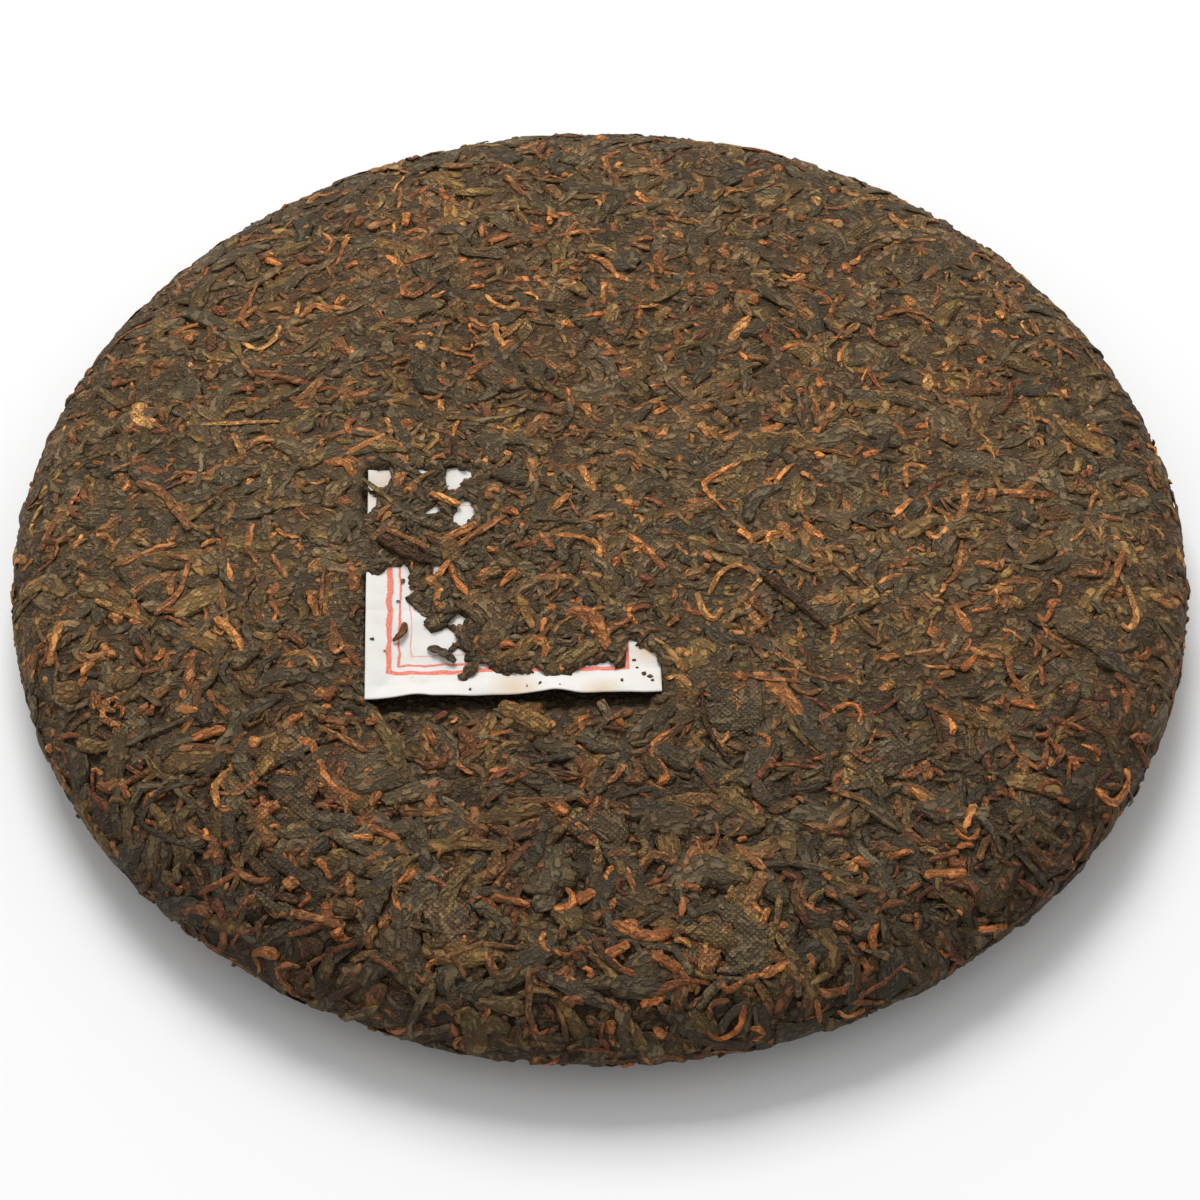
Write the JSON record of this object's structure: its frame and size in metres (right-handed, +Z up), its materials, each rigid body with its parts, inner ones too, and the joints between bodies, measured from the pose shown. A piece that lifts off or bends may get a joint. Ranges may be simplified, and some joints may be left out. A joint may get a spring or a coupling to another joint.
{
  "type": "pu erh tea cake",
  "caption": "Round pressed cake of ripe pu erh tea leaves, a low dome with a rounded rim and a knot hollow underneath, with a square paper ticket set in its top.",
  "frame": {"origin": "centre of the cake's outline on the surface that it rests on", "axes": "+Z up through the cake, -Y towards the picture's camera, +X to the picture's right"},
  "size_m": [0.2004, 0.1996, 0.0245],
  "materials": {
    "pressed_tea": "matt dark brown pressed leaves",
    "ticket_paper": "matt white rice paper with a plain red border"
  },
  "bodies": {
    "root": {"tea_cake": "pressed_tea", "paper_ticket": "ticket_paper"}
  },
  "joints": []
}
